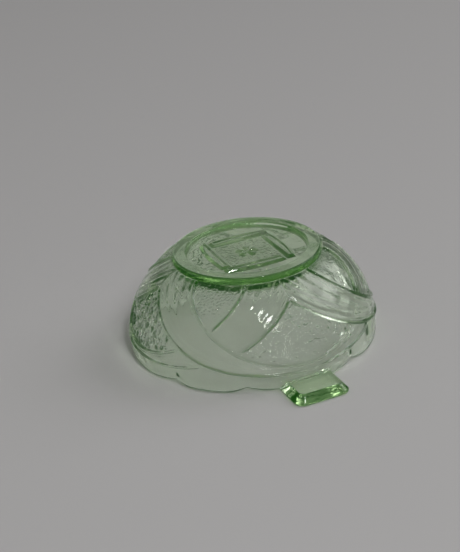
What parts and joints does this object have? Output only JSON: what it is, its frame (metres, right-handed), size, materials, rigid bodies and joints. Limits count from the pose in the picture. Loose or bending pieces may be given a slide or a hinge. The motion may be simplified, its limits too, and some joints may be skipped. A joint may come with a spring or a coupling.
{
  "type": "pressed glass dish",
  "caption": "Small round pressed-glass dish in pale green, turned upside down on its scalloped rim, with interlaced raised bands, a foot ring and a tab handle.",
  "frame": {"origin": "centre of the rim's flat edge, on the dish axis, in the plane that the dish stands on when it is upside down", "axes": "+Z from the rim up to the foot, along the dish axis; the tab handle points to -Y; the hollow opens towards -Z"},
  "size_m": [0.1318, 0.1495, 0.05],
  "materials": {
    "pale_green_glass": "fire-polished, pale green, clear",
    "edge_green_glass": "fire-polished, the same glass where it is seen edge on"
  },
  "bodies": {
    "root": {"bowl_wall": "pale_green_glass", "base_disc": "pale_green_glass", "foot_knot": "pale_green_glass", "band_front": "pale_green_glass", "band_right": "pale_green_glass", "band_back": "pale_green_glass", "band_left": "pale_green_glass", "scalloped_rim": "edge_green_glass", "foot_ring": "edge_green_glass", "tab_handle": "edge_green_glass"}
  },
  "joints": []
}
